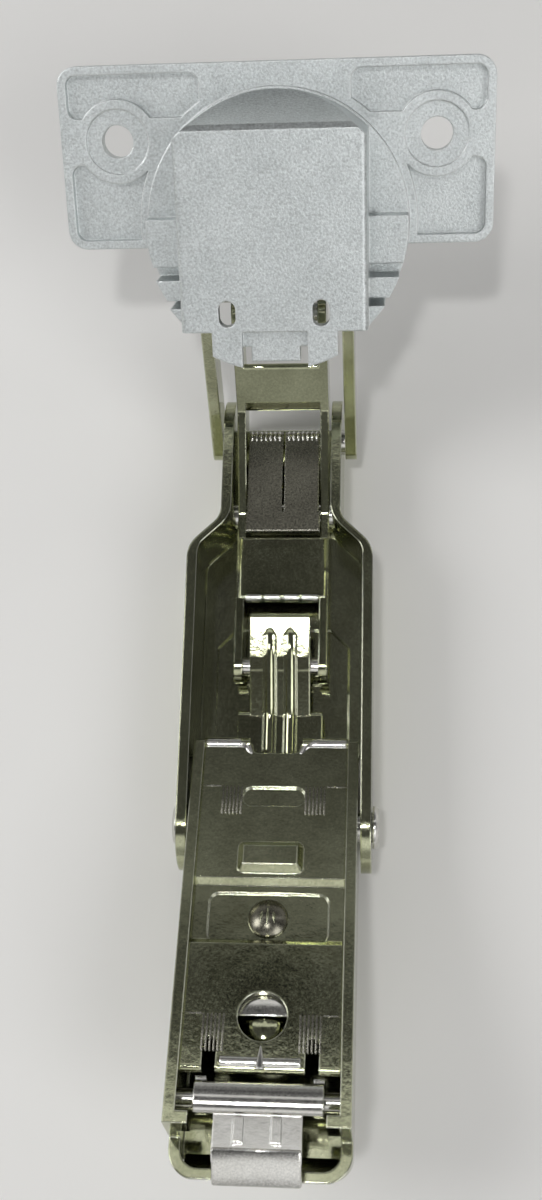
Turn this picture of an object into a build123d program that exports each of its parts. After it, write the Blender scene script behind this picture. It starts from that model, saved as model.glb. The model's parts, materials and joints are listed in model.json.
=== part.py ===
from build123d import *
import os
from math import atan2, cos, degrees, radians, sin

os.makedirs("parts", exist_ok=True)

# Wide-angle clip-on cabinet hinge, lying open on its back with both mounting sides up.
# +X runs across the hinge, +Y from the arm to the cup, +Z up from the surface it lies on.
# Sizes are millimetres and degrees. The origin is under the middle of the hinge.

# How the hinge lies: the housing is flat, the arm's rear end and the cup's far edge are raised.
pivot_y = -26.13
pivot_height = 6.5
arm_tilt = 17.8
cup_tilt = 38.7
seat_y = 77.9
seat_height = 26.0

# Pivots. Those of the housing are (along, up) from the foot of the arm pivot.
knee_y = 44.1
knee_z = 4.0
knuckle_y = 54.5
knuckle_z = 5.9
tongue_y = 22.1
tongue_z = 4.4
# Pivots of the arm are (along, up) from the arm pivot, those of the cup from its bore's centre.
tail_u = -6.2
tail_v = 0.4
nose_u = -11.3
nose_v = 2.1
deep_u = -7.6
deep_v = 6.9

# Fits
run_gap = 0.06
side_gap = 0.4
open_pivot_gap = 0.5

# Pins and rivets
arm_rivet_r = 2.0
arm_rivet_head_r = 2.8
arm_rivet_head = 0.8
knee_pin_r = 1.7
knuckle_rivet_r = 1.8
tongue_pin_r = 1.3
tail_pin_r = 1.5
nose_pin_r = 1.4
deep_pin_r = 1.4

# Cup casting
bore_d = 35.0
screw_pitch = 42.0
screw_offset = 11.0
screw_hole_d = 4.2
flange_width = 57.0
flange_top = 20.5
flange_bottom = -2.9
flange_corner = 2.5
flange_thickness = 2.4
flange_back_chamfer = 0.7
pocket_depth = 1.2
pocket_rim = 1.1
pocket_corner = 1.4
boss_d = 10.7
boss_step_d = 8.3
boss_step_depth = 0.3
boss_band = 5.8
cup_depth = 11.5
cup_floor = 1.5
cup_half = 12.15
cup_wall = 1.55
cup_back_wall = 2.6
cup_head = 13.8
cup_mouth = -12.0
collar_height = 0.9
body_relief = 0.3
lug_relief = 0.12
floor_edge_r = 0.7
near_lug_low = -4.9
near_lug_high = 1.3
near_lug_height = 3.4
mid_lug_low = -9.1
mid_lug_high = -6.4
mid_lug_height = 5.0
far_lug_low = -12.6
far_lug_high = -9.9
far_lug_height = 6.4
leg_inner = 4.3
leg_outer = 8.2
slot_x = 6.1
slot_y = -9.6
slot_width = 2.2
slot_length = 3.4
tongue_tab_half = 3.2
tongue_tab_reach = -16.2
tongue_tab_drop = 1.6
rib_half = 4.6

# Housing
housing_gauge = 1.4
housing_height = 11.0
cheek_gap = 0.35
housing_narrow_half = 8.2
flare_start = 37.4
flare_end = 41.6
flare_wide_r = 4.0
flare_narrow_r = 3.0
panel_depth = 0.35
panel_half = 9.2
panel_front = 28.0
panel_corner = 2.6
housing_web_start = 10.0
housing_shoulder = 14.0
cheek_r = 6.0

# Links
inner_half = 6.4
inner_gauge = 1.2
inner_bar = 4.7
inner_elbow_y = 58.4
inner_elbow_z = 9.6
inner_web_start = 31.5
inner_web_end = 40.0
inner_web_gauge = 1.1
inner_web_roll = 0.9
elbow_roll_r = 2.2
elbow_roll_rise = 2.0
elbow_web_reach = 5.0
outer_gauge = 1.6
outer_bar = 4.8
tongue_gauge = 1.3
tongue_half = 4.1
tongue_shoulder_half = 5.8
tongue_lip_y = 28.2
tongue_lip_end = 23.0
tongue_lip_z = 6.5
tongue_lip_front_z = 7.6
tongue_bend_y = 15.3
tongue_bend_z = 3.8
tongue_rear_y = 5.0
tongue_rear_z = 4.2
tongue_eye_wall = 1.0
tail_eye_wall = 1.1
tail_eye_half = 5.0
bead_x = 1.4
bead_width = 1.7
bead_height = 0.6
bead_front = 25.6

# Closing spring
leaf_gauge = 0.8
leaf_root_y = 40.6
leaf_start = 43.4
leaf_end = 54.6
leaf_z = 8.1
leaf_roll_r = 1.0
leaf_seam = 0.3
leaf_edge_gap = 0.2

# Arm
arm_half = 10.9
arm_gauge = 1.4
arm_front = 9.4
arm_rear = -44.6
arm_bottom = -4.6
arm_top = 6.4
arm_nose_r = 4.5
arm_nose_low = 2.4
arm_web_start = -10.5
arm_tail_chamfer = 4.2
arm_tail_low = -0.5
arm_tail_corner = 3.6
arm_step = 4.8
arm_tip_low = 2.4

# Adjusting plate
plate_gauge = 1.2
plate_top = 5.7
plate_roll_r = 0.9
plate_rear_roll_r = 0.7
plate_latch_gap = 2.9
plate_slot_half = 3.5
plate_slot_deep = 2.4
plate_slot_corner = 1.3
band_front = -9.6
band_rear = -18.2
band_drop = 0.8
pad_length = 8.2
pad_width = 2.6
pad_y = 1.6
pad_depth = 0.4
louvre_y = -6.9
louvre_length = 8.4
louvre_width = 4.2
louvre_height = 1.0
louvre_slope = 40.0
cam_pad_length = 15.0
cam_pad_width = 6.4
cam_pad_depth = 0.35
cam_y = -14.6
cam_r = 1.9
cam_dome_r = 2.5
cam_dome_height = 1.1
cam_foot_r = 3.4
cam_foot = 0.9
window_inset = 5.9
window_d = 5.9
screw_r = 1.9
screw_head_r = 2.9
screw_head = 1.5
screw_dome = 0.8
screw_top = 3.4
arch_x = 6.1
arch_width = 1.6
arch_length = 3.4

# Latch
latch_pin_r = 1.2
latch_inset = 8.7
latch_v = 2.0
lever_gauge = 1.2
lever_half = 7.6
lever_bar_v = 4.75
lever_bar_r = 0.9
lever_bar_front = 0.4
lever_bar_rear = 1.4
lever_tab_half = 5.2
lever_tab_v = 4.2
lever_tab_bend = 6.4
lever_tab_end = 9.0
lever_tab_drop = 2.1
lever_ear = 1.3
lever_ear_wall = 0.7
lever_rib_x = 2.2
lever_rib_width = 1.2
lever_rib_height = 0.5
lever_rib_start = 2.6
lever_rib_end = 5.6
lever_corner = 1.5
lever_notch_half = 2.4
lever_notch = 0.5
spring_coil_r = 1.75
spring_half = 3.0

# Sizes that follow from the ones above
bore_r = bore_d / 2
cavity_half = cup_half - cup_wall
cavity_depth = cup_depth - cup_floor
housing_wide_inner = arm_half + cheek_gap
housing_wide_half = housing_wide_inner + housing_gauge
housing_narrow_inner = housing_narrow_half - housing_gauge
inner_clear_half = inner_half - inner_gauge
outer_link_in = housing_narrow_half + side_gap
outer_link_out = outer_link_in + outer_gauge
arm_inner_half = arm_half - arm_gauge
latch_y = arm_rear + latch_inset
plate_rear = latch_y + plate_latch_gap
screw_y = plate_rear + window_inset
arm_tip = arm_half - lever_half - side_gap
wide = 2 * flange_width


def on_cup(u, v):
    """Place in the housing's (along, up) of a point of the cup."""
    lean = radians(cup_tilt)
    return (seat_y + u * cos(lean) - v * sin(lean), seat_height + u * sin(lean) + v * cos(lean))


def on_arm(u, v):
    """Place in the housing's (along, up) of a point of the arm."""
    lean = radians(arm_tilt)
    return (u * cos(lean) + v * sin(lean), pivot_height - u * sin(lean) + v * cos(lean))


knee = (knee_y, knee_z)
knuckle = (knuckle_y, knuckle_z)
tongue_pivot = (tongue_y, tongue_z)
tail = on_arm(tail_u, tail_v)
nose = on_cup(nose_u, nose_v)
deep = on_cup(deep_u, deep_v)
elbow = (inner_elbow_y, inner_elbow_z)

# Working planes. The side planes look along X, with (along, up) as their axes.
lean_arm = radians(arm_tilt)
lean_cup = radians(cup_tilt)
HOUSING = Plane(origin=(0, pivot_y, 0), x_dir=(1, 0, 0), z_dir=(0, 0, 1))
ARM = Plane(origin=(0, pivot_y, pivot_height), x_dir=(1, 0, 0), z_dir=(0, sin(lean_arm), cos(lean_arm)))
CUP = Plane(
    origin=(0, pivot_y + seat_y, seat_height), x_dir=(1, 0, 0), z_dir=(0, -sin(lean_cup), cos(lean_cup))
)


def side_of(plane):
    """Plane that looks along X, with the given plane's Y and Z as its axes."""
    return Plane(origin=plane.origin, x_dir=plane.y_dir, z_dir=plane.x_dir)


HOUSING_SIDE = side_of(HOUSING)
ARM_SIDE = side_of(ARM)
CUP_SIDE = side_of(CUP)


def bar(start, end, width):
    """Add a round-ended bar between two points to the current sketch."""
    along = end[0] - start[0]
    up = end[1] - start[1]
    middle = ((start[0] + end[0]) / 2, (start[1] + end[1]) / 2)
    with Locations(middle):
        SlotCenterToCenter((along**2 + up**2) ** 0.5, width, rotation=degrees(atan2(up, along)))


def drill(side, place, radius, half):
    """Cut a bore along X through the current part."""
    with BuildSketch(side.offset(-half)) as bore:
        with Locations(place):
            Circle(radius)
    extrude(bore.sketch, amount=2 * half, mode=Mode.SUBTRACT)


def cap_middle(base, height):
    """Point halfway along a round cap's profile, as (out from its axis, up from its base)."""
    ball = (base**2 + height**2) / (2 * height)
    half_turn = atan2(base, ball - height) / 2
    return (ball * sin(half_turn), height - ball + ball * cos(half_turn))


def save(piece, label):
    """Label a finished piece and write its file."""
    piece.part.label = label
    export_step(piece.part, f"parts/{label}.step")


# The cup: a flange with pockets and bosses, a round collar and a square-shouldered body, one casting
with BuildPart() as cup_body:
    with BuildSketch(CUP.offset(-flange_thickness / 2)):
        Circle(bore_r - body_relief)
        Rectangle(2 * cup_half, 2 * bore_r, mode=Mode.INTERSECT)
        with Locations((0, cup_mouth)):
            Rectangle(2 * leg_inner, bore_r, align=(Align.CENTER, Align.MAX), mode=Mode.SUBTRACT)
        with Locations((leg_outer, cup_mouth)):
            Rectangle(cup_half, bore_r, align=(Align.MIN, Align.MAX), mode=Mode.SUBTRACT)
        with Locations((-leg_outer, cup_mouth)):
            Rectangle(cup_half, bore_r, align=(Align.MAX, Align.MAX), mode=Mode.SUBTRACT)
    extrude(amount=flange_thickness / 2 + cup_depth)
    with BuildSketch(CUP_SIDE.offset(-bore_r)):
        with BuildLine():
            Polyline(
                (bore_r, collar_height),
                (bore_r, -flange_thickness),
                (-bore_r, -flange_thickness),
                (-bore_r, cup_depth),
                (cup_head - floor_edge_r, cup_depth),
                (cup_head, cup_depth - floor_edge_r),
            )
            RadiusArc((cup_head, cup_depth - floor_edge_r), (bore_r, collar_height), -2 * cup_depth)
        make_face()
    extrude(amount=2 * bore_r, mode=Mode.INTERSECT)
    with BuildSketch(Plane(CUP.from_local_coords((0, bore_r, 0)), x_dir=CUP.x_dir, z_dir=-CUP.y_dir)):
        with Locations((0, cup_depth)):
            Rectangle(2 * cup_half, cup_depth + flange_thickness, align=(Align.CENTER, Align.MAX))
        fillet(vertices().group_by(Axis.Y)[-1], floor_edge_r)
    extrude(amount=2 * bore_r, mode=Mode.INTERSECT)

with BuildPart() as cup:
    with BuildSketch(CUP.offset(-flange_thickness)):
        with Locations((0, (flange_top + flange_bottom) / 2)):
            RectangleRounded(flange_width, flange_top - flange_bottom, flange_corner)
    extrude(amount=flange_thickness)
    back_face = cup.faces().sort_by(Axis(CUP.origin, CUP.z_dir))[0]
    chamfer(back_face.edges(), flange_back_chamfer)
    with BuildSketch(CUP):
        for side in (-1, 1):
            pocket_out = side * (flange_width / 2 - pocket_rim)
            outward = Align.MAX if side > 0 else Align.MIN
            with Locations((pocket_out, screw_offset + boss_band / 2)):
                RectangleRounded(
                    bore_r,
                    flange_top - pocket_rim - screw_offset - boss_band / 2,
                    pocket_corner,
                    align=(outward, Align.MIN),
                )
            with Locations((pocket_out, screw_offset - boss_band / 2)):
                RectangleRounded(
                    bore_r,
                    screw_offset - boss_band / 2 - flange_bottom - pocket_rim,
                    pocket_corner,
                    align=(outward, Align.MAX),
                )
        Circle(bore_r + pocket_rim, mode=Mode.SUBTRACT)
        with Locations((-screw_pitch / 2, screw_offset), (screw_pitch / 2, screw_offset)):
            Circle(boss_d / 2, mode=Mode.SUBTRACT)
    extrude(amount=-pocket_depth, mode=Mode.SUBTRACT)
    with BuildSketch(CUP.offset(-flange_thickness)):
        Circle(bore_r)
        with Locations((0, cup_mouth)):
            Rectangle(2 * bore_r, 2 * bore_r, align=(Align.CENTER, Align.MIN), mode=Mode.INTERSECT)
    extrude(amount=flange_thickness + collar_height)
    for lug_low, lug_high, lug_height in (
        (near_lug_low, near_lug_high, near_lug_height),
        (mid_lug_low, mid_lug_high, mid_lug_height),
        (far_lug_low, far_lug_high, far_lug_height),
    ):
        with BuildSketch(CUP.offset(-flange_thickness / 2)):
            Circle(bore_r - lug_relief)
            with Locations((0, (lug_low + lug_high) / 2)):
                Rectangle(2 * bore_r, lug_high - lug_low, mode=Mode.INTERSECT)
        extrude(amount=flange_thickness / 2 + lug_height)
    add(cup_body.part)
    with BuildSketch(CUP.offset(-2 * flange_thickness)):
        with Locations((0, cup_head - cup_back_wall)):
            Rectangle(2 * cavity_half, 3 * bore_r, align=(Align.CENTER, Align.MAX))
    extrude(amount=2 * flange_thickness + cavity_depth, mode=Mode.SUBTRACT)
    with BuildSketch(CUP.offset(cavity_depth - tongue_tab_drop)):
        with Locations((0, tongue_tab_reach)):
            Rectangle(2 * tongue_tab_half, -tongue_tab_reach, align=(Align.CENTER, Align.MIN))
    extrude(amount=tongue_tab_drop)
    with BuildSketch(CUP_SIDE.offset(-rib_half)):
        bar((nose_u, nose_v), (nose_u, cavity_depth), 2 * (nose_pin_r + cup_wall))
        with Locations((0, cavity_depth)):
            Rectangle(2 * bore_r, bore_r, align=(Align.CENTER, Align.MIN), mode=Mode.SUBTRACT)
    extrude(amount=2 * rib_half)
    with BuildSketch(CUP):
        with Locations((-slot_x, slot_y), (slot_x, slot_y)):
            SlotOverall(slot_length, slot_width, rotation=90)
    extrude(amount=cup_depth, mode=Mode.SUBTRACT)
    with BuildSketch(CUP.offset(-flange_thickness)):
        with Locations((-screw_pitch / 2, screw_offset), (screw_pitch / 2, screw_offset)):
            Circle(screw_hole_d / 2)
    extrude(amount=flange_thickness, mode=Mode.SUBTRACT)
    with BuildSketch(CUP):
        with Locations((-screw_pitch / 2, screw_offset), (screw_pitch / 2, screw_offset)):
            Circle(boss_step_d / 2)
    extrude(amount=-boss_step_depth, mode=Mode.SUBTRACT)
    drill(CUP_SIDE, (nose_u, nose_v), nose_pin_r, rib_half)
    drill(CUP_SIDE, (deep_u, deep_v), deep_pin_r, cup_half)
save(cup, "hinge_cup")

# The pin in the cup's middle rib carries the inner link, the one through its walls the outer links
with BuildPart() as nose_pin:
    with BuildSketch(HOUSING_SIDE.offset(-inner_half)):
        with Locations(nose):
            Circle(nose_pin_r)
    extrude(amount=2 * inner_half)
save(nose_pin, "cup_nose_pin")

with BuildPart() as deep_pin:
    with BuildSketch(HOUSING_SIDE.offset(-cup_half)):
        with Locations(deep):
            Circle(deep_pin_r)
    extrude(amount=2 * cup_half)
save(deep_pin, "cup_deep_pin")


def channel_plan(inset, start, end):
    """Add the housing's flared outline, seen from above and set in by a gap, to the current sketch."""
    with BuildLine() as outline:
        FilletPolyline(
            (housing_wide_half - inset, start),
            (housing_wide_half - inset, flare_start),
            (housing_narrow_half - inset, flare_end),
            (housing_narrow_half - inset, end),
            radius=(flare_wide_r - inset, flare_narrow_r + inset),
        )
        Line((0, start), (housing_wide_half - inset, start))
        Line((0, end), (housing_narrow_half - inset, end))
        mirror(about=Plane.YZ)
    make_face(outline.edges())


# The housing: a channel that flares from its narrow knuckle end to cheeks outside the arm
with BuildPart() as housing:
    with BuildSketch(HOUSING):
        channel_plan(0, -2 * cheek_r, knuckle_y + 2 * knuckle_z)
    extrude(amount=pivot_height + cheek_r)
    with BuildSketch(HOUSING.offset(housing_gauge)):
        channel_plan(housing_gauge, -4 * cheek_r, knuckle_y + 4 * knuckle_z)
    extrude(amount=pivot_height + cheek_r, mode=Mode.SUBTRACT)
    with BuildSketch(HOUSING):
        with Locations((0, housing_web_start)):
            Rectangle(2 * housing_wide_inner, wide, align=(Align.CENTER, Align.MAX))
    extrude(amount=housing_gauge, mode=Mode.SUBTRACT)
    with BuildSketch(HOUSING.offset(housing_gauge)):
        with Locations((0, panel_front)):
            Rectangle(2 * panel_half, panel_front, align=(Align.CENTER, Align.MAX))
        chamfer(vertices().group_by(Axis.Y)[-1], panel_corner)
    extrude(amount=-panel_depth, mode=Mode.SUBTRACT)
    with BuildSketch(HOUSING_SIDE):
        with Locations((0, pivot_height)):
            Circle(cheek_r)
        with Locations(knuckle):
            Circle(knuckle_z)
        with Locations((housing_shoulder, 0)):
            Rectangle(flare_start - housing_shoulder, housing_height, align=Align.MIN)
        make_hull()
    extrude(amount=wide / 2, both=True, mode=Mode.INTERSECT)
    drill(HOUSING_SIDE, (0, pivot_height), arm_rivet_r + run_gap, housing_wide_half)
    drill(HOUSING_SIDE, knee, knee_pin_r, housing_narrow_half)
    drill(HOUSING_SIDE, knuckle, knuckle_rivet_r, housing_narrow_half)
save(housing, "housing_link")

with BuildPart() as knee_pin:
    with BuildSketch(HOUSING_SIDE.offset(-housing_narrow_half)):
        with Locations(knee):
            Circle(knee_pin_r)
    extrude(amount=2 * housing_narrow_half)
save(knee_pin, "knee_pin")

# The inner link: two cranked bars with a web folded over them, behind the knee, and a roll above the elbow
with BuildPart() as inner_link:
    with BuildSketch(HOUSING_SIDE.offset(inner_clear_half)):
        bar(tongue_pivot, knee, inner_bar)
        bar(knee, elbow, inner_bar)
        bar(elbow, nose, inner_bar)
    extrude(amount=inner_gauge)
    mirror(about=Plane.YZ)
    web_top = max(knee_z, tongue_z) + inner_bar / 2
    with BuildSketch(Plane((0, pivot_y + inner_web_end, web_top), x_dir=(1, 0, 0), z_dir=(0, -1, 0))):
        Rectangle(2 * inner_half, inner_web_gauge, align=(Align.CENTER, Align.MAX))
        fillet(vertices().group_by(Axis.Y)[-1], inner_web_roll)
    extrude(amount=inner_web_end - inner_web_start)
    rise = atan2(nose[1] - elbow[1], nose[0] - elbow[0])
    roll = (elbow[0] + elbow_roll_rise * cos(rise), elbow[1] + elbow_roll_rise * sin(rise))
    web_out = (inner_bar - inner_web_gauge) / 2
    web_root = (roll[0] - web_out * sin(rise), roll[1] + web_out * cos(rise))
    web_tip = (web_root[0] + elbow_web_reach * cos(rise), web_root[1] + elbow_web_reach * sin(rise))
    with BuildSketch(HOUSING_SIDE.offset(-inner_clear_half)):
        with Locations(roll):
            Circle(elbow_roll_r)
        bar(web_root, web_tip, inner_web_gauge)
    extrude(amount=2 * inner_clear_half)
    drill(HOUSING_SIDE, tongue_pivot, tongue_pin_r, inner_half)
    drill(HOUSING_SIDE, knee, knee_pin_r + run_gap, inner_half)
    drill(HOUSING_SIDE, nose, nose_pin_r + run_gap, inner_half)
save(inner_link, "inner_link")

with BuildPart() as tongue_pin:
    with BuildSketch(HOUSING_SIDE.offset(-inner_half)):
        with Locations(tongue_pivot):
            Circle(tongue_pin_r)
    extrude(amount=2 * inner_half)
save(tongue_pin, "tongue_pin")

# The closing spring: a leaf with two fingers that end in a roll, held between the inner link's bars
with BuildPart() as leaf:
    with BuildSketch(HOUSING_SIDE.offset(-inner_clear_half)):
        with Locations((leaf_root_y, leaf_z)):
            Rectangle(leaf_end - leaf_root_y, leaf_gauge, align=(Align.MIN, Align.MAX))
        with Locations((leaf_end, leaf_z - leaf_roll_r)):
            Circle(leaf_roll_r)
    extrude(amount=2 * inner_clear_half)
    with BuildSketch(HOUSING.offset(leaf_z - 3 * leaf_roll_r)):
        with Locations((0, leaf_start)):
            Rectangle(leaf_seam, leaf_end, align=(Align.CENTER, Align.MIN))
        leaf_half = inner_clear_half - leaf_edge_gap
        with Locations((leaf_half, leaf_start), (-leaf_half - inner_gauge, leaf_start)):
            Rectangle(inner_gauge, leaf_end, align=Align.MIN)
    extrude(amount=6 * leaf_roll_r, mode=Mode.SUBTRACT)
save(leaf, "closing_spring")

# Outer links and their rivets, one on each side of the housing's knuckle
for name, turn in (("left", -1), ("right", 1)):
    near = min(turn * outer_link_in, turn * outer_link_out)
    with BuildPart() as outer_link:
        with BuildSketch(HOUSING_SIDE.offset(near)):
            bar(knuckle, deep, outer_bar)
        extrude(amount=outer_gauge)
        drill(HOUSING_SIDE, knuckle, knuckle_rivet_r + run_gap, outer_link_out)
        drill(HOUSING_SIDE, deep, deep_pin_r + open_pivot_gap, outer_link_out)
    save(outer_link, f"outer_link_{name}")
    rivet_near = min(turn * housing_narrow_inner, turn * outer_link_out)
    with BuildPart() as knuckle_rivet:
        with BuildSketch(HOUSING_SIDE.offset(rivet_near)):
            with Locations(knuckle):
                Circle(knuckle_rivet_r)
        extrude(amount=outer_link_out - housing_narrow_inner)
    save(knuckle_rivet, f"knuckle_rivet_{name}")

# The tongue: a beaded strip from the inner link to a pin under the adjusting plate
with BuildPart() as tongue:
    with BuildSketch(HOUSING_SIDE.offset(-tongue_half)):
        bar((tongue_lip_y, tongue_lip_front_z), (tongue_lip_end, tongue_lip_z), tongue_gauge)
        bar((tongue_lip_end, tongue_lip_z), (tongue_bend_y, tongue_bend_z), tongue_gauge)
        with Locations(tongue_pivot):
            Circle(tongue_pin_r + run_gap + tongue_eye_wall)
    extrude(amount=2 * tongue_half)
    with BuildSketch(HOUSING_SIDE.offset(-tongue_shoulder_half)):
        bar((tongue_bend_y, tongue_bend_z), (tongue_rear_y, tongue_rear_z), tongue_gauge)
    extrude(amount=2 * tongue_shoulder_half)
    bead_rise = tongue_gauge / 2 + bead_height
    lip_slope = (tongue_lip_front_z - tongue_lip_z) / (tongue_lip_y - tongue_lip_end)
    bead_z = tongue_lip_z + lip_slope * (bead_front - tongue_lip_end)
    for bead_place in (-bead_x, bead_x):
        with BuildSketch(HOUSING_SIDE.offset(bead_place - bead_width / 2)):
            with BuildLine():
                Polyline(
                    (bead_front + bead_rise, bead_z + lip_slope * bead_rise),
                    (bead_front, bead_z + bead_rise),
                    (tongue_lip_end, tongue_lip_z + bead_rise),
                    (tongue_bend_y, tongue_bend_z + bead_rise),
                    (tongue_rear_y, tongue_rear_z + bead_rise),
                    (tongue_rear_y, tongue_rear_z),
                    (tongue_bend_y, tongue_bend_z),
                    (tongue_lip_end, tongue_lip_z),
                    close=True,
                )
            make_face()
        extrude(amount=bead_width)
    with BuildSketch(HOUSING_SIDE.offset(-tail_eye_half)):
        bar((tongue_rear_y, tongue_rear_z), tail, tongue_gauge)
        with Locations(tail):
            Circle(tail_pin_r + open_pivot_gap + tail_eye_wall)
    extrude(amount=2 * tail_eye_half)
    drill(HOUSING_SIDE, tongue_pivot, tongue_pin_r + run_gap, tongue_half)
    drill(HOUSING_SIDE, tail, tail_pin_r + open_pivot_gap, tail_eye_half)
save(tongue, "arm_tongue")

# The arm: a channel, open upwards, whose walls run on past its web to the pivot
with BuildPart() as arm:
    with BuildSketch(ARM_SIDE):
        Circle(arm_nose_r)
        with Locations((arm_front, arm_nose_low)):
            Rectangle(arm_front, arm_top - arm_nose_low, align=(Align.MAX, Align.MIN))
        with Locations((arm_rear, arm_bottom)):
            Rectangle(arm_web_start - arm_rear, arm_top - arm_bottom, align=Align.MIN)
        make_hull()
    extrude(amount=arm_half, both=True)
    tail_corner = arm.edges().filter_by(Axis.X).sort_by(Axis(ARM.origin, ARM.y_dir))[:2]
    chamfer(tail_corner.sort_by(Axis(ARM.origin, ARM.z_dir))[0], arm_tail_chamfer)
    with BuildSketch(ARM.offset(2 * arm_bottom)):
        with Locations((0, arm_rear)):
            Rectangle(2 * arm_half, wide, align=(Align.CENTER, Align.MIN))
        fillet(vertices().group_by(Axis.Y)[0], arm_tail_corner)
    extrude(amount=-4 * arm_bottom, mode=Mode.INTERSECT)
    with BuildSketch(ARM.offset(arm_bottom + arm_gauge)):
        with Locations((0, arm_rear + arm_gauge)):
            Rectangle(2 * arm_inner_half, wide, align=(Align.CENTER, Align.MIN))
        fillet(vertices().group_by(Axis.Y)[0], arm_tail_corner - arm_gauge)
    extrude(amount=arm_top - arm_bottom, mode=Mode.SUBTRACT)
    with BuildSketch(ARM.offset(2 * arm_bottom)):
        with Locations((0, arm_web_start)):
            Rectangle(2 * arm_inner_half, wide, align=(Align.CENTER, Align.MIN))
    extrude(amount=-4 * arm_bottom, mode=Mode.SUBTRACT)
    with BuildSketch(ARM.offset(arm_tail_low)):
        with Locations((0, arm_rear)):
            Rectangle(2 * arm_half, arm_step, align=(Align.CENTER, Align.MIN))
    extrude(amount=2 * arm_top, mode=Mode.SUBTRACT)
    with BuildSketch(ARM.offset(arm_tip_low)):
        with Locations((arm_half, arm_rear + arm_step)):
            Rectangle(arm_tip, arm_gauge, align=(Align.MAX, Align.MIN))
        with Locations((-arm_half, arm_rear + arm_step)):
            Rectangle(arm_tip, arm_gauge, align=Align.MIN)
        fillet(vertices().group_by(Axis.Y)[0].sort_by(Axis.X)[0], arm_gauge / 2)
        fillet(vertices().group_by(Axis.Y)[0].sort_by(Axis.X)[-1], arm_gauge / 2)
    extrude(amount=arm_top - arm_tip_low)
    with BuildSketch(ARM.offset(arm_bottom)):
        with Locations((0, cam_y)):
            Circle(cam_r + run_gap)
        with Locations((0, screw_y)):
            Circle(screw_r + run_gap)
    extrude(amount=arm_gauge, mode=Mode.SUBTRACT)
    drill(ARM_SIDE, (0, 0), arm_rivet_r, arm_half)
    drill(ARM_SIDE, (tail_u, tail_v), tail_pin_r, arm_half)
    drill(ARM_SIDE, (latch_y, latch_v), latch_pin_r, arm_half)
save(arm, "arm_channel")

# Rivets of the arm pivot, flush inside the arm's wall, with a low head outside the housing's cheek
for name, turn in (("left", -1), ("right", 1)):
    neck = housing_wide_half + 2 * run_gap
    with BuildPart() as arm_rivet:
        with BuildSketch(Plane(ARM.origin, x_dir=ARM.y_dir, z_dir=(turn, 0, 0)).offset(arm_inner_half)):
            Circle(arm_rivet_r)
        extrude(amount=neck - arm_inner_half)
        with BuildSketch(Plane(ARM.origin, x_dir=ARM.y_dir, z_dir=(turn, 0, 0)).offset(neck)):
            Circle(arm_rivet_head_r)
        extrude(amount=arm_rivet_head)
        outer_face = arm_rivet.faces().sort_by(Axis.X)[-1 if turn > 0 else 0]
        chamfer(outer_face.edges(), arm_rivet_head / 2)
    save(arm_rivet, f"arm_rivet_{name}")

with BuildPart() as tail_pin:
    with BuildSketch(ARM_SIDE.offset(-arm_half)):
        with Locations((tail_u, tail_v)):
            Circle(tail_pin_r)
    extrude(amount=2 * arm_half)
save(tail_pin, "tail_pin")

# The adjusting plate: a stamped plate between the arm's walls
with BuildPart() as plate:
    with BuildSketch(ARM_SIDE.offset(-arm_inner_half)):
        with BuildLine():
            Polyline(
                (arm_front, plate_top),
                (band_front, plate_top),
                (band_front - band_drop, plate_top - band_drop),
                (band_rear + band_drop, plate_top - band_drop),
                (band_rear, plate_top),
                (plate_rear, plate_top),
                (plate_rear, plate_top - plate_gauge),
                (band_rear, plate_top - plate_gauge),
                (band_rear + band_drop, plate_top - plate_gauge - band_drop),
                (band_front - band_drop, plate_top - plate_gauge - band_drop),
                (band_front, plate_top - plate_gauge),
                (arm_front, plate_top - plate_gauge),
                close=True,
            )
        make_face()
        with Locations((arm_front, plate_top - plate_gauge / 2)):
            Circle(plate_roll_r)
        with Locations((plate_rear, plate_top - plate_rear_roll_r)):
            Circle(plate_rear_roll_r)
    extrude(amount=2 * arm_inner_half)
    with BuildSketch(ARM.offset(plate_top)):
        with Locations((0, pad_y)):
            SlotOverall(pad_length, pad_width)
    extrude(amount=-pad_depth, mode=Mode.SUBTRACT)
    with BuildSketch(ARM.offset(plate_top - band_drop)):
        with Locations((0, cam_y)):
            RectangleRounded(cam_pad_length, cam_pad_width, cam_pad_width / 5)
    extrude(amount=-cam_pad_depth, mode=Mode.SUBTRACT)
    with BuildSketch(ARM.offset(plate_top)):
        with Locations((0, louvre_y)):
            RectangleRounded(louvre_length, louvre_width, louvre_width / 5)
    extrude(amount=louvre_height, taper=louvre_slope)
    with BuildSketch(ARM.offset(plate_top - 2 * plate_gauge - band_drop)):
        with Locations((0, screw_y)):
            Circle(window_d / 2)
        with Locations((0, cam_y)):
            Circle(cam_r + run_gap)
        with Locations((0, arm_front + plate_roll_r)):
            RectangleRounded(2 * plate_slot_half, 2 * plate_slot_deep, plate_slot_corner)
        with Locations((arch_x, plate_rear), (-arch_x, plate_rear)):
            SlotOverall(2 * arch_length, arch_width, rotation=90)
    extrude(amount=4 * plate_gauge + 2 * band_drop, mode=Mode.SUBTRACT)
save(plate, "adjusting_plate")

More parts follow.
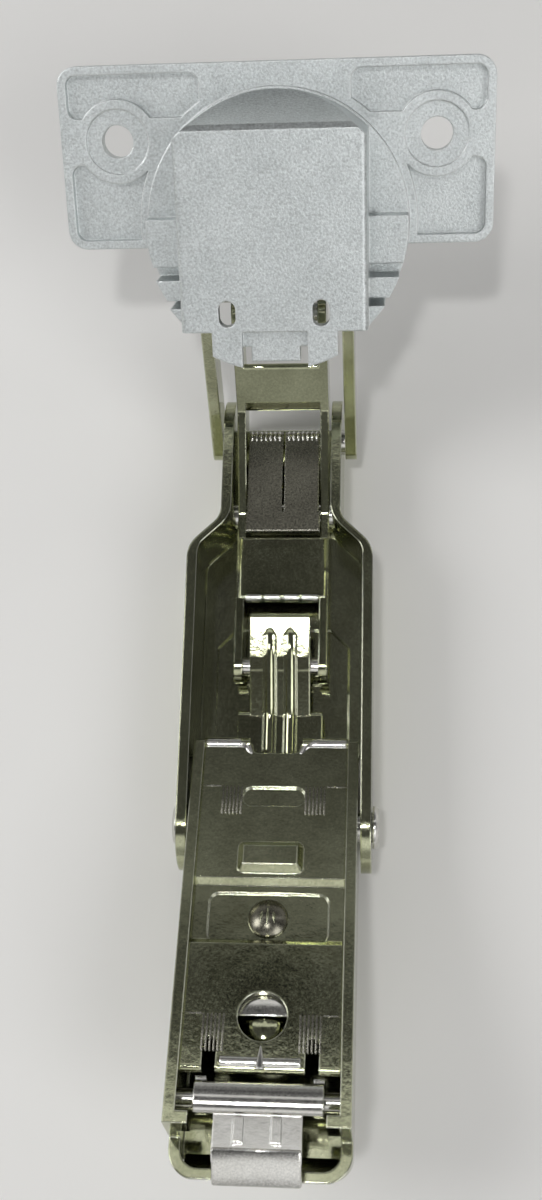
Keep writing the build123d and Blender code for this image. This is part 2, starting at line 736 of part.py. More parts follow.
# The depth cam: a peened stud through the plate, with its driven foot under the arm's web
with BuildPart() as cam:
    dome_base = plate_top - band_drop - cam_pad_depth + run_gap
    dome_out, dome_up = cap_middle(cam_dome_r, cam_dome_height)
    with BuildSketch(ARM_SIDE):
        with BuildLine():
            Polyline(
                (cam_y, dome_base + cam_dome_height),
                (cam_y, arm_bottom - run_gap - cam_foot),
                (cam_y + cam_foot_r, arm_bottom - run_gap - cam_foot),
                (cam_y + cam_foot_r, arm_bottom - run_gap),
                (cam_y + cam_r, arm_bottom - run_gap),
                (cam_y + cam_r, dome_base),
                (cam_y + cam_dome_r, dome_base),
            )
            ThreePointArc(
                (cam_y + cam_dome_r, dome_base),
                (cam_y + dome_out, dome_base + dome_up),
                (cam_y, dome_base + cam_dome_height),
            )
        make_face()
    revolve(axis=Axis(ARM.from_local_coords((0, cam_y, 0)), ARM.z_dir))
save(cam, "depth_cam")

# The side adjusting screw: a domed head under the plate's window, its shank in the arm's web
with BuildPart() as screw:
    head_base = screw_top - screw_dome
    head_out, head_up = cap_middle(screw_head_r, screw_dome)
    with BuildSketch(ARM_SIDE):
        with BuildLine():
            Polyline(
                (screw_y, screw_top),
                (screw_y, arm_bottom),
                (screw_y + screw_r, arm_bottom),
                (screw_y + screw_r, head_base - screw_head),
                (screw_y + screw_head_r, head_base - screw_head),
                (screw_y + screw_head_r, head_base),
            )
            ThreePointArc(
                (screw_y + screw_head_r, head_base),
                (screw_y + head_out, head_base + head_up),
                (screw_y, screw_top),
            )
        make_face()
    revolve(axis=Axis(ARM.from_local_coords((0, screw_y, 0)), ARM.z_dir))
save(screw, "side_screw")

# The latch: a lever on a cross pin, with a coil spring between its ears
with BuildPart() as latch_pin:
    with BuildSketch(ARM_SIDE.offset(-arm_half)):
        with Locations((latch_y, latch_v)):
            Circle(latch_pin_r)
    extrude(amount=2 * arm_half)
save(latch_pin, "latch_pin")

with BuildPart() as coil:
    with BuildSketch(ARM_SIDE.offset(-spring_half)):
        with Locations((latch_y, latch_v)):
            Circle(spring_coil_r)
            Circle(latch_pin_r, mode=Mode.SUBTRACT)
    extrude(amount=2 * spring_half)
save(coil, "latch_spring")

with BuildPart() as lever:
    bar_front = (latch_y + lever_bar_front, lever_bar_v)
    bar_rear = (latch_y - lever_bar_rear, lever_bar_v)
    tab_bend = (latch_y - lever_tab_bend, lever_tab_v)
    tab_end = (latch_y - lever_tab_end, lever_tab_v - lever_tab_drop)
    tab_edge = latch_y - lever_tab_end - lever_gauge
    with BuildSketch(ARM_SIDE.offset(-lever_tab_half)):
        bar((latch_y - lever_bar_rear, lever_tab_v), tab_bend, lever_gauge)
        bar(tab_bend, tab_end, lever_gauge)
    extrude(amount=2 * lever_tab_half)
    with BuildSketch(ARM.offset(lever_tab_v - 2 * lever_tab_drop)):
        for turn in (-1, 1):
            with BuildLine() as corner:
                Polyline(
                    (turn * lever_tab_half, tab_edge),
                    (turn * lever_tab_half, tab_edge + lever_corner + lever_gauge),
                    (turn * (lever_tab_half - lever_corner - lever_gauge), tab_edge),
                    close=True,
                )
            make_face(corner.edges())
    extrude(amount=4 * lever_tab_drop, mode=Mode.SUBTRACT)
    with BuildSketch(ARM.offset(lever_tab_v)):
        with Locations((-lever_rib_x, latch_y - lever_rib_start), (lever_rib_x, latch_y - lever_rib_start)):
            Rectangle(lever_rib_width, lever_rib_end - lever_rib_start, align=(Align.CENTER, Align.MAX))
    extrude(amount=lever_gauge / 2 + lever_rib_height)
    with BuildSketch(ARM_SIDE.offset(-lever_half)):
        bar(bar_front, bar_rear, 2 * lever_bar_r)
    extrude(amount=2 * lever_half)
    with BuildSketch(ARM.offset(lever_bar_v - 2 * lever_bar_r)):
        with Locations((0, latch_y + lever_bar_front + lever_bar_r)):
            Rectangle(2 * lever_notch_half, 2 * lever_notch)
    extrude(amount=4 * lever_bar_r, mode=Mode.SUBTRACT)
    with BuildSketch(ARM_SIDE.offset(lever_half - lever_ear)):
        bar((latch_y, latch_v), (latch_y, lever_bar_v), 2 * (latch_pin_r + lever_ear_wall))
        with Locations((latch_y, lever_bar_v)):
            Rectangle(lever_half, lever_half, align=(Align.CENTER, Align.MIN), mode=Mode.SUBTRACT)
    extrude(amount=lever_ear)
    mirror(about=Plane.YZ)
    drill(ARM_SIDE, (latch_y, latch_v), latch_pin_r + run_gap, lever_half)
save(lever, "release_lever")
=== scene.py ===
"""Looks of a wide-angle cabinet hinge that lies open on its back, on a pale studio floor."""

from __future__ import annotations

import json
import logging
import math
from dataclasses import dataclass, field
from enum import Enum

import bmesh
import bpy
from mathutils import Matrix, Vector


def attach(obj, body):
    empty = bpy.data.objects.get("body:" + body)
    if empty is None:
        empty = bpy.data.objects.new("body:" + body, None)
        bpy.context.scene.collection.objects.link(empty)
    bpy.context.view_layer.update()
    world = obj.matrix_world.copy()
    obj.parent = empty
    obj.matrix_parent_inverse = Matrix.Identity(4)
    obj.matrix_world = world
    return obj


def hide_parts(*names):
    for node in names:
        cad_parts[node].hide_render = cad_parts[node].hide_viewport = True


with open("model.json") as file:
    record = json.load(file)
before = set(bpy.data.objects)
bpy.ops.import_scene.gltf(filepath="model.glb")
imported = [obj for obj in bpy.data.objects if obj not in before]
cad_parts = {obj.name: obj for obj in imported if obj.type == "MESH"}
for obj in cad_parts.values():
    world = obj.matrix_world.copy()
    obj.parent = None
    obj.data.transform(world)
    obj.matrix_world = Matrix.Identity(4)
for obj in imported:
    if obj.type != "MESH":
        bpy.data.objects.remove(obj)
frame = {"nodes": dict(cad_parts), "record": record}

LOG = logging.getLogger("hinge")
MILLIMETRE = 0.001
MERGE_GAP = 0.001
SHARP_ANGLE = 40.0
Colour = tuple[float, float, float]


class Metal(Enum):
    """Metals of the hinge, named as the record's material slots are."""

    CAST_ZINC = "cast_zinc"
    PLATED_STEEL = "plated_steel"
    BRIGHT_STEEL = "bright_steel"
    SPRING_STEEL = "spring_steel"


class Side(Enum):
    """Sides of the hinge, seen with the cup at the top."""

    LEFT = -1
    RIGHT = 1


@dataclass(frozen=True)
class WorkFrame:
    """A leaning frame with X across the hinge, Y along it and Z out of the piece.

    Places in it are millimetres.

    Attributes:
        along: Place of its origin along the part.
        up: Height of its origin.
        lean: Turn about X, in degrees.
    """

    along: float
    up: float
    lean: float

    def to_world(self) -> Matrix:
        """Work out the way from this frame's millimetres to the part's metres.

        Returns:
            The matrix.
        """
        place = Matrix.Translation((0.0, self.along * MILLIMETRE, self.up * MILLIMETRE))
        turn = Matrix.Rotation(math.radians(self.lean), 4, "X")
        return place @ turn @ Matrix.Scale(MILLIMETRE, 4)


ARM_FRAME = WorkFrame(along=-26.13, up=6.5, lean=-17.8)
HOUSING_FRAME = WorkFrame(along=-26.13, up=0.0, lean=0.0)


class NodeTree:
    """Small helper that adds and joins nodes in one tree."""

    def __init__(self, tree: bpy.types.NodeTree) -> None:
        """Hold the tree.

        Args:
            tree: Node tree that gets the nodes.
        """
        self.tree = tree

    def add(self, kind: str, **settings: object) -> bpy.types.Node:
        """Add a node and set it.

        Args:
            kind: Blender's type name of the node.
            settings: Properties of the node, or values of its inputs by name.

        Returns:
            The new node.
        """
        node = self.tree.nodes.new(kind)
        for key, value in settings.items():
            if hasattr(node, key):
                setattr(node, key, value)
            else:
                node.inputs[key.replace("_", " ").title()].default_value = value
        return node

    def join(self, out: bpy.types.NodeSocket, into: bpy.types.NodeSocket) -> None:
        """Link one socket to another.

        Args:
            out: Socket that gives.
            into: Socket that takes.
        """
        self.tree.links.new(out, into)

    def fade(self, value: bpy.types.NodeSocket, span: tuple[float, float]) -> bpy.types.NodeSocket:
        """Turn a value into a smooth share from 0 to 1.

        Args:
            value: Socket that gives the value.
            span: Values at which the share is 0 and 1.

        Returns:
            Socket that gives the share.
        """
        node = self.add("ShaderNodeMapRange", interpolation_type="SMOOTHSTEP")
        node.inputs["From Min"].default_value, node.inputs["From Max"].default_value = span
        self.join(value, node.inputs["Value"])
        return node.outputs["Result"]

    def mix(
        self,
        share: bpy.types.NodeSocket | float,
        first: bpy.types.NodeSocket | Colour,
        second: bpy.types.NodeSocket | Colour,
        blend: str = "MIX",
    ) -> bpy.types.NodeSocket:
        """Mix two colours.

        Args:
            share: Share of the second colour, as a socket or a number.
            first: First colour, as a socket or a value.
            second: Second colour, as a socket or a value.
            blend: Blender's name of the way that they mix.

        Returns:
            Socket that gives the mixed colour.
        """
        node = self.add("ShaderNodeMix", data_type="RGBA", blend_type=blend)
        for name, given in (("Factor", share), ("A", first), ("B", second)):
            if isinstance(given, bpy.types.NodeSocket):
                self.join(given, node.inputs[name])
            else:
                node.inputs[name].default_value = (*given, 1.0) if isinstance(given, tuple) else given
        return node.outputs["Result"]


class EffectGroups:
    """Shader groups that the metals share, each built once."""

    NOISE_DETAIL = {"Grain": 3.0, "Peel": 1.0, "Blotch": 4.0}
    NOISE_ROUGHNESS = 0.6
    NOISE_SPAN = (0.28, 0.72)
    EDGE_RADIUS = 0.00032
    EDGE_SAMPLES = 6

    def __init__(self) -> None:
        """Build every group."""
        self.grain = self._grain_group()
        self.edge = self._edge_group()

    @staticmethod
    def _new_group(name: str, inputs: dict[str, str], outputs: dict[str, str]) -> NodeTree:
        """Make an empty group with named sockets.

        Args:
            name: Name of the group.
            inputs: Socket type by input name.
            outputs: Socket type by output name.

        Returns:
            Helper around the group's tree.
        """
        tree = bpy.data.node_groups.new(name, "ShaderNodeTree")
        for label, kind in inputs.items():
            tree.interface.new_socket(label, in_out="INPUT", socket_type=kind)
        for label, kind in outputs.items():
            tree.interface.new_socket(label, in_out="OUTPUT", socket_type=kind)
        return NodeTree(tree)

    def _grain_group(self) -> bpy.types.NodeTree:
        """Group of fine grain, wavy orange peel and broad blotches.

        Returns:
            The group, with Grain, Peel and Blotch from 0 to 1.
        """
        scales = {f"{label} Scale": "NodeSocketFloat" for label in self.NOISE_DETAIL}
        nodes = self._new_group(
            "metal_grain",
            {"Vector": "NodeSocketVector", **scales},
            {label: "NodeSocketFloat" for label in self.NOISE_DETAIL},
        )
        entry = nodes.add("NodeGroupInput")
        leave = nodes.add("NodeGroupOutput")
        for label, detail in self.NOISE_DETAIL.items():
            noise = nodes.add("ShaderNodeTexNoise", detail=detail, roughness=self.NOISE_ROUGHNESS)
            nodes.join(entry.outputs["Vector"], noise.inputs["Vector"])
            nodes.join(entry.outputs[f"{label} Scale"], noise.inputs["Scale"])
            spread = nodes.add("ShaderNodeMapRange")
            spread.inputs["From Min"].default_value = self.NOISE_SPAN[0]
            spread.inputs["From Max"].default_value = self.NOISE_SPAN[1]
            nodes.join(noise.outputs["Fac"], spread.inputs["Value"])
            nodes.join(spread.outputs["Result"], leave.inputs[label])
        return nodes.tree

    def _edge_group(self) -> bpy.types.NodeTree:
        """Group that finds edges and rounds their shading.

        Returns:
            The group, with the rounded Normal and an edge Mask from 0 to 1.
        """
        nodes = self._new_group(
            "rounded_edge",
            {"Gain": "NodeSocketFloat"},
            {"Mask": "NodeSocketFloat", "Normal": "NodeSocketVector"},
        )
        entry = nodes.add("NodeGroupInput")
        leave = nodes.add("NodeGroupOutput")
        bevel = nodes.add("ShaderNodeBevel", samples=self.EDGE_SAMPLES)
        bevel.inputs["Radius"].default_value = self.EDGE_RADIUS
        flat = nodes.add("ShaderNodeNewGeometry")
        dot = nodes.add("ShaderNodeVectorMath", operation="DOT_PRODUCT")
        nodes.join(bevel.outputs["Normal"], dot.inputs[0])
        nodes.join(flat.outputs["Normal"], dot.inputs[1])
        away = nodes.add("ShaderNodeMath", operation="SUBTRACT")
        away.inputs[0].default_value = 1.0
        nodes.join(dot.outputs["Value"], away.inputs[1])
        gain = nodes.add("ShaderNodeMath", operation="MULTIPLY", use_clamp=True)
        nodes.join(away.outputs["Value"], gain.inputs[0])
        nodes.join(entry.outputs["Gain"], gain.inputs[1])
        nodes.join(gain.outputs["Value"], leave.inputs["Mask"])
        nodes.join(bevel.outputs["Normal"], leave.inputs["Normal"])
        return nodes.tree


@dataclass(frozen=True)
class MetalFinish:
    """One metal finish: its colours, its gloss and the size of its grain.

    Attributes:
        metal: Metal that it is for.
        bright: Colour of the bright blotches.
        dull: Colour of the dull blotches.
        edge: Colour of worn edges.
        gloss: Least and greatest roughness.
        grain_mm: Width of the fine grain.
        grain_height: Height of the fine grain, in millimetres.
        peel_mm: Width of the orange peel.
        peel_height: Height of the orange peel, in millimetres.
        blotch_mm: Width of the blotches.
        edge_gain: Strength of the wear at edges.
        speckle: Strength of the grain in the colour.
        wave_height: Height of the blotches, in millimetres.
    """

    metal: Metal
    bright: Colour
    dull: Colour
    edge: Colour
    gloss: tuple[float, float]
    grain_mm: float
    grain_height: float
    peel_mm: float
    peel_height: float
    blotch_mm: float = 7.0
    edge_gain: float = 4.0
    speckle: float = 0.25
    wave_height: float = 0.0

    def build(self, groups: EffectGroups) -> bpy.types.Material:
        """Make the material.

        Args:
            groups: Shader groups shared by the metals.

        Returns:
            The finished material.
        """
        material = bpy.data.materials.new(f"hinge_{self.metal.value}")
        material.use_nodes = True
        material.node_tree.nodes.clear()
        nodes = NodeTree(material.node_tree)
        out = nodes.add("ShaderNodeOutputMaterial")
        shader = nodes.add("ShaderNodeBsdfPrincipled")
        shader.inputs["Metallic"].default_value = 1.0
        nodes.join(shader.outputs["BSDF"], out.inputs["Surface"])
        grain, edge = self._effects(nodes, groups)
        nodes.join(self._colour(nodes, grain, edge), shader.inputs["Base Color"])
        nodes.join(self._roughness(nodes, grain), shader.inputs["Roughness"])
        nodes.join(self._normal(nodes, grain, edge), shader.inputs["Normal"])
        return material

    def _effects(self, nodes: NodeTree, groups: EffectGroups) -> tuple[bpy.types.Node, bpy.types.Node]:
        """Set the shared groups to this finish.

        Args:
            nodes: The material's tree.
            groups: Shader groups shared by the metals.

        Returns:
            The grain's node and the edge's node.
        """
        place = nodes.add("ShaderNodeTexCoord")
        grain = nodes.add("ShaderNodeGroup", node_tree=groups.grain)
        widths = {"Grain": self.grain_mm, "Peel": self.peel_mm, "Blotch": self.blotch_mm}
        for layer, width in widths.items():
            grain.inputs[f"{layer} Scale"].default_value = 1.0 / (width * MILLIMETRE)
        nodes.join(place.outputs["Object"], grain.inputs["Vector"])
        edge = nodes.add("ShaderNodeGroup", node_tree=groups.edge)
        edge.inputs["Gain"].default_value = self.edge_gain
        return grain, edge

    def _colour(self, nodes: NodeTree, grain: bpy.types.Node, edge: bpy.types.Node) -> bpy.types.NodeSocket:
        """Mix the blotches, the speckle and the worn edges.

        Args:
            nodes: The material's tree.
            grain: The grain's node.
            edge: The edge's node.

        Returns:
            Socket that gives the colour.
        """
        shade = nodes.mix(grain.outputs["Blotch"], self.dull, self.bright)
        speckled = nodes.mix(self.speckle, shade, grain.outputs["Grain"], blend="MULTIPLY")
        return nodes.mix(edge.outputs["Mask"], speckled, self.edge)

    def _roughness(self, nodes: NodeTree, grain: bpy.types.Node) -> bpy.types.NodeSocket:
        """Spread the gloss over the grain.

        Args:
            nodes: The material's tree.
            grain: The grain's node.

        Returns:
            Socket that gives the roughness.
        """
        gloss = nodes.add("ShaderNodeMapRange")
        gloss.inputs["To Min"].default_value, gloss.inputs["To Max"].default_value = self.gloss
        nodes.join(grain.outputs["Grain"], gloss.inputs["Value"])
        return gloss.outputs["Result"]

    def _normal(self, nodes: NodeTree, grain: bpy.types.Node, edge: bpy.types.Node) -> bpy.types.NodeSocket:
        """Lay waves, orange peel and grain over the rounded edges.

        Args:
            nodes: The material's tree.
            grain: The grain's node.
            edge: The edge's node.

        Returns:
            Socket that gives the normal.
        """
        normal = edge.outputs["Normal"]
        heights = {"Blotch": self.wave_height, "Peel": self.peel_height, "Grain": self.grain_height}
        for layer, height in heights.items():
            bump = nodes.add("ShaderNodeBump")
            bump.inputs["Distance"].default_value = height * MILLIMETRE
            nodes.join(grain.outputs[layer], bump.inputs["Height"])
            nodes.join(normal, bump.inputs["Normal"])
            normal = bump.outputs["Normal"]
        return normal


FINISHES: tuple[MetalFinish, ...] = (
    MetalFinish(
        metal=Metal.CAST_ZINC,
        bright=(0.80, 0.84, 0.84),
        dull=(0.69, 0.73, 0.73),
        edge=(0.92, 0.94, 0.94),
        gloss=(0.30, 0.52),
        grain_mm=0.30,
        grain_height=0.032,
        peel_mm=1.8,
        peel_height=0.012,
        speckle=0.4,
    ),
    MetalFinish(
        metal=Metal.PLATED_STEEL,
        bright=(0.60, 0.62, 0.42),
        dull=(0.39, 0.40, 0.26),
        edge=(0.78, 0.79, 0.68),
        gloss=(0.06, 0.14),
        grain_mm=0.30,
        grain_height=0.002,
        peel_mm=1.3,
        peel_height=0.003,
        wave_height=0.016,
    ),
    MetalFinish(
        metal=Metal.BRIGHT_STEEL,
        bright=(0.82, 0.81, 0.77),
        dull=(0.70, 0.69, 0.64),
        edge=(0.95, 0.95, 0.93),
        gloss=(0.10, 0.22),
        grain_mm=0.25,
        grain_height=0.0015,
        peel_mm=1.5,
        peel_height=0.004,
    ),
    MetalFinish(
        metal=Metal.SPRING_STEEL,
        bright=(0.31, 0.30, 0.24),
        dull=(0.21, 0.20, 0.16),
        edge=(0.62, 0.61, 0.57),
        gloss=(0.18, 0.36),
        grain_mm=0.28,
        grain_height=0.003,
        peel_mm=1.4,
        peel_height=0.006,
    ),
)


class Finishes:
    """The hinge's materials, by metal."""

    def __init__(self) -> None:
        """Build each finish once."""
        groups = EffectGroups()
        self.by_metal = {finish.metal: finish.build(groups) for finish in FINISHES}

    def dress(self, piece: bpy.types.Object, metal: Metal) -> None:
        """Give a piece one metal all over.

        Args:
            piece: Object that is dressed.
            metal: Metal that it is made of.
        """
        piece.data.materials.clear()
        piece.data.materials.append(self.by_metal[metal])


@dataclass
class CarriedNodes:
    """The CAD nodes, dressed by the record's material slots.

    Attributes:
        other_metal: Metal of the nodes that look different from their slot.
    """

    other_metal: dict[str, Metal] = field(
        default_factory=lambda: {"release_lever": Metal.BRIGHT_STEEL, "side_screw": Metal.PLATED_STEEL}
    )

    def dress(self, finishes: Finishes) -> None:
        """Dress each node in its metal.

        Args:
            finishes: The hinge's materials.
        """
        slots = {part["node"]: part["material_slot"] for part in frame["record"]["subparts"]}
        for name, node in frame["nodes"].items():
            metal = self.other_metal.get(name, Metal(slots[name]))
            finishes.dress(node, metal)
            LOG.info("node %s: %s", name, metal.value)


class Shop:
    """Makes finished pieces out of shapes in millimetres."""

    def __init__(self, finishes: Finishes) -> None:
        """Hold the materials.

        Args:
            finishes: The hinge's materials.
        """
        self.finishes = finishes

    def piece(
        self,
        shape: bmesh.types.BMesh,
        name: str,
        place: WorkFrame,
        body: str,
        metal: Metal,
    ) -> bpy.types.Object:
        """Turn a shape into a piece that rides on a body.

        Args:
            shape: Shape in the frame's millimetres; it is freed.
            name: Name of the piece.
            place: Frame that the shape is drawn in.
            body: Body that carries the piece.
            metal: Metal that the piece is made of.

        Returns:
            The finished piece.
        """
        bmesh.ops.remove_doubles(shape, verts=shape.verts[:], dist=MERGE_GAP)
        bmesh.ops.recalc_face_normals(shape, faces=shape.faces[:])
        bmesh.ops.transform(shape, matrix=place.to_world(), verts=shape.verts[:])
        for face in shape.faces:
            face.smooth = True
        mesh = bpy.data.meshes.new(name)
        shape.to_mesh(mesh)
        shape.free()
        mesh.set_sharp_from_angle(angle=math.radians(SHARP_ANGLE))
        thing = bpy.data.objects.new(name, mesh)
        bpy.context.scene.collection.objects.link(thing)
        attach(thing, body)
        self.finishes.dress(thing, metal)
        LOG.info("piece %s rides on %s: %d faces", name, body, len(mesh.polygons))
        return thing


def add_rod(shape: bmesh.types.BMesh, path: list[Vector], radii: list[float], sides: int) -> None:
    """Sweep a ring along a path, closed at both ends.

    Args:
        shape: Shape that gets the rod.
        path: Points along the rod's middle line.
        radii: Radius of the rod at each point.
        sides: Number of sides of the ring.
    """
    runs = [(b - a).normalized() for a, b in zip(path, path[1:])]
    heads = [runs[0]] + [(a + b).normalized() for a, b in zip(runs, runs[1:])] + [runs[-1]]
    turn = heads[0].to_track_quat("Z", "Y").to_matrix().to_4x4()
    spots = []
    for index, (point, head, radius) in enumerate(zip(path, heads, radii)):
        if index:
            turn = heads[index - 1].rotation_difference(head).to_matrix().to_4x4() @ turn
        size = Matrix.Diagonal((radius, radius, radius, 1.0))
        spots.append(Matrix.Translation(point) @ turn @ size)
    circle = bmesh.ops.create_circle(shape, cap_ends=True, segments=sides, radius=1.0, matrix=spots[0])
    ring = circle["verts"]
    edges = list({edge for vert in ring for edge in vert.link_edges})
    for before, after in zip(spots, spots[1:]):
        grown = bmesh.ops.extrude_edge_only(shape, edges=edges)["geom"]
        ring = [item for item in grown if isinstance(item, bmesh.types.BMVert)]
        edges = [item for item in grown if isinstance(item, bmesh.types.BMEdge)]
        bmesh.ops.transform(shape, matrix=after @ before.inverted(), verts=ring)
    bmesh.ops.contextual_create(shape, geom=edges)


def add_ridge(
    shape: bmesh.types.BMesh,
    middle: Vector,
    size: Vector,
    edge: float,
    tilt: float = 0.0,
) -> None:
    """Add a bar with rounded edges.

    Args:
        shape: Shape that gets the bar.
        middle: Middle of the bar.
        size: Width, length and height of the bar.
        edge: Rounding of its edges.
        tilt: Turn of the bar about X, in degrees.
    """
    turn = Matrix.Rotation(math.radians(tilt), 4, "X")
    block = Matrix.Translation(middle) @ turn @ Matrix.Diagonal((*size, 1.0))
    corners = bmesh.ops.create_cube(shape, size=1.0, matrix=block)["verts"]
    edges = list({line for corner in corners for line in corner.link_edges})
    bmesh.ops.bevel(
        shape,
        geom=edges,
        offset=edge,
        offset_type="OFFSET",
        affect="EDGES",
        segments=2,
        profile=0.5,
        material=-1,
    )


@dataclass
class PlateDress:
    """Pressed marks, curls and rolls of the adjusting plate, drawn in the arm's frame.

    Attributes:
        top: Height of the plate's face.
        tick_count: Ticks in each group.
        front_ticks: Start and end of the front groups along the plate.
        rear_ticks: Start and end of the rear groups along the plate.
        front_inset: Place of the front groups' inmost tick across the plate.
        rear_inset: Place of the rear groups' inmost tick across the plate.
        score_inner: Inner ends of the front and rear score lines.
        wall: Outer end of the score lines, at the arm's wall.
        rib: Share of the rib's length, and its radius there.
        curl: Points across, along and up one front curl, and its radius there.
        roll: Share of the rear roll's half length.
    """

    top: float = 5.7
    tick_count: int = 6
    tick_step: float = 0.48
    tick_width: float = 0.26
    tick_height: float = 0.26
    tick_edge: float = 0.08
    front_ticks: tuple[float, float] = (3.0, -1.0)
    rear_ticks: tuple[float, float] = (-26.9, -31.4)
    front_inset: float = 4.2
    rear_inset: float = 4.6
    score_inner: tuple[float, float] = (6.9, 7.2)
    score_width: float = 0.18
    score_height: float = 0.2
    score_edge: float = 0.06
    wall: float = 9.4
    rib_tip: float = -30.6
    rib_root: float = -33.4
    rib: tuple[tuple[float, float], ...] = ((0.0, 0.08), (0.3, 0.3), (0.7, 0.55), (1.0, 0.62))
    curl: tuple[tuple[float, float, float, float], ...] = (
        (9.3, 9.4, 5.1, 0.92),
        (4.9, 9.4, 5.1, 0.92),
        (4.2, 9.25, 5.15, 0.84),
        (3.75, 8.85, 5.2, 0.70),
        (3.5, 8.25, 5.28, 0.55),
        (3.2, 7.75, 5.35, 0.38),
    )
    roll_half: float = 5.0
    roll_along: float = -32.45
    roll_up: float = 5.35
    roll_radius: float = 0.75
    roll_end_radius: float = 0.4
    roll: tuple[float, ...] = (-1.0, -0.94, 0.94, 1.0)
    sides: int = 20
    rib_sides: int = 16

    def build(self, shop: Shop) -> None:
        """Make every mark, curl and roll.

        Args:
            shop: Maker of the pieces.
        """
        # The ticks and score lines stand for pressed grooves; their dark spring steel is painted shade, for
        # the shade that falls in the grooves.
        shop.piece(self._ticks(), "plate_ticks", ARM_FRAME, "arm", Metal.SPRING_STEEL)
        shop.piece(self._score_lines(), "plate_score_lines", ARM_FRAME, "arm", Metal.SPRING_STEEL)
        shop.piece(self._rib(), "plate_rear_rib", ARM_FRAME, "arm", Metal.BRIGHT_STEEL)
        # The front curls and the rear roll are rolled edges of the plate itself; their shape catches the
        # lamps, and the lighter bright steel on them is a painted highlight.
        shop.piece(self._curls(), "plate_front_curls", ARM_FRAME, "arm", Metal.BRIGHT_STEEL)
        shop.piece(self._roll(), "plate_rear_roll", ARM_FRAME, "arm", Metal.BRIGHT_STEEL)

    def _curls(self) -> bmesh.types.BMesh:
        """Draw the front edge's roll, which curls into the slot on both sides.

        Returns:
            Both curls as one shape.
        """
        shape = bmesh.new()
        radii = [radius for *_, radius in self.curl]
        for side in Side:
            spots = [Vector((side.value * across, along, up)) for across, along, up, _ in self.curl]
            add_rod(shape, spots, radii, sides=self.sides)
        return shape

    def _roll(self) -> bmesh.types.BMesh:
        """Draw the raised roll at the rear edge, between the two slots.

        Returns:
            The roll as one shape.
        """
        shape = bmesh.new()
        spots = [Vector((share * self.roll_half, self.roll_along, self.roll_up)) for share in self.roll]
        radii = [self.roll_end_radius, self.roll_radius, self.roll_radius, self.roll_end_radius]
        add_rod(shape, spots, radii, sides=self.sides)
        return shape

    def _ticks(self) -> bmesh.types.BMesh:
        """Draw the four groups of setting ticks.

        Returns:
            The ticks as one shape.
        """
        shape = bmesh.new()
        groups = ((self.front_ticks, self.front_inset), (self.rear_ticks, self.rear_inset))
        for (start, end), inset in groups:
            for side in Side:
                for step in range(self.tick_count):
                    across = side.value * (inset + step * self.tick_step)
                    middle = Vector((across, (start + end) / 2, self.top))
                    size = Vector((self.tick_width, start - end, 2 * self.tick_height))
                    add_ridge(shape, middle, size, self.tick_edge)
        return shape

    def _score_lines(self) -> bmesh.types.BMesh:
        """Draw the fine lines between the ticks and the arm's walls.

        Returns:
            The lines as one shape.
        """
        shape = bmesh.new()
        for along, inner in zip((self.front_ticks[0], self.rear_ticks[0]), self.score_inner):
            size = Vector((self.wall - inner, self.score_width, self.score_height))
            for side in Side:
                middle = Vector((side.value * (inner + self.wall) / 2, along, self.top))
                add_ridge(shape, middle, size, self.score_edge)
        return shape

    def _rib(self) -> bmesh.types.BMesh:
        """Draw the pointed rib in the middle of the plate's rear edge.

        Returns:
            The rib as one shape.
        """
        shape = bmesh.new()
        length = self.rib_root - self.rib_tip
        spots = [Vector((0.0, self.rib_tip + share * length, self.top)) for share, _ in self.rib]
        add_rod(shape, spots, [radius for _, radius in self.rib], sides=self.rib_sides)
        return shape


@dataclass
class CamDress:
    """Peened cap of the depth cam's dome, drawn in the arm's frame.

    Attributes:
        along: Place of the cam along the arm.
        top: Height of the dome.
        cover: Thickness of the cap over the dome.
        base: Height of the cap's lower edge.
        ball: Radius of the cap's ball.
        last_ring: Share of the cap's height where the last ring lies.
        marks: Place across and half length of each mark.
        mark_lean: Share of the place across at the rear end, middle and front end of a mark.
        mark_fall: Fall of the dome for each square millimetre across.
        mark_dip: Depth of a mark's ends under its middle.
    """

    along: float = -14.6
    top: float = 5.68
    cover: float = 0.05
    base: float = 4.6
    ball: float = 3.41
    cap_rings: int = 9
    cap_sides: int = 48
    last_ring: float = 0.999
    marks: tuple[tuple[float, float], ...] = ((-0.85, 0.85), (0.0, 1.05), (0.85, 0.85))
    mark_lean: tuple[float, float, float] = (1.0, 0.9, 0.7)
    mark_radii: tuple[float, float, float] = (0.10, 0.22, 0.10)
    mark_fall: float = 0.13
    mark_dip: float = 0.16
    mark_sides: int = 10

    def build(self, shop: Shop) -> None:
        """Make the cap and its marks.

        Args:
            shop: Maker of the pieces.
        """
        shop.piece(self._cap(), "cam_cap", ARM_FRAME, "cam", Metal.SPRING_STEEL)
        shop.piece(self._marks(), "cam_peening", ARM_FRAME, "cam", Metal.PLATED_STEEL)

    def _cap(self) -> bmesh.types.BMesh:
        """Draw the round cap, a part of a ball.

        Returns:
            The cap as one shape.
        """
        crown = self.top + self.cover
        spots = []
        radii = []
        for ring in range(self.cap_rings + 1):
            rise = math.sin(0.5 * math.pi * ring / self.cap_rings) * self.last_ring
            up = self.base + (crown - self.base) * rise
            spots.append(Vector((0.0, self.along, up)))
            fall = crown - up
            radii.append(math.sqrt(max(2 * self.ball * fall - fall * fall, 0.0)))
        shape = bmesh.new()
        add_rod(shape, spots, radii, sides=self.cap_sides)
        return shape

    def _marks(self) -> bmesh.types.BMesh:
        """Draw the dents that the peening left.

        Returns:
            The marks as one shape.
        """
        shape = bmesh.new()
        for across, reach in self.marks:
            crest = self.top - self.mark_fall * across * across
            steps = ((-reach, crest - self.mark_dip), (0.0, crest), (reach, crest - self.mark_dip))
            path = [
                Vector((across * lean, self.along + step, up))
                for lean, (step, up) in zip(self.mark_lean, steps)
            ]
            add_rod(shape, path, list(self.mark_radii), sides=self.mark_sides)
        return shape


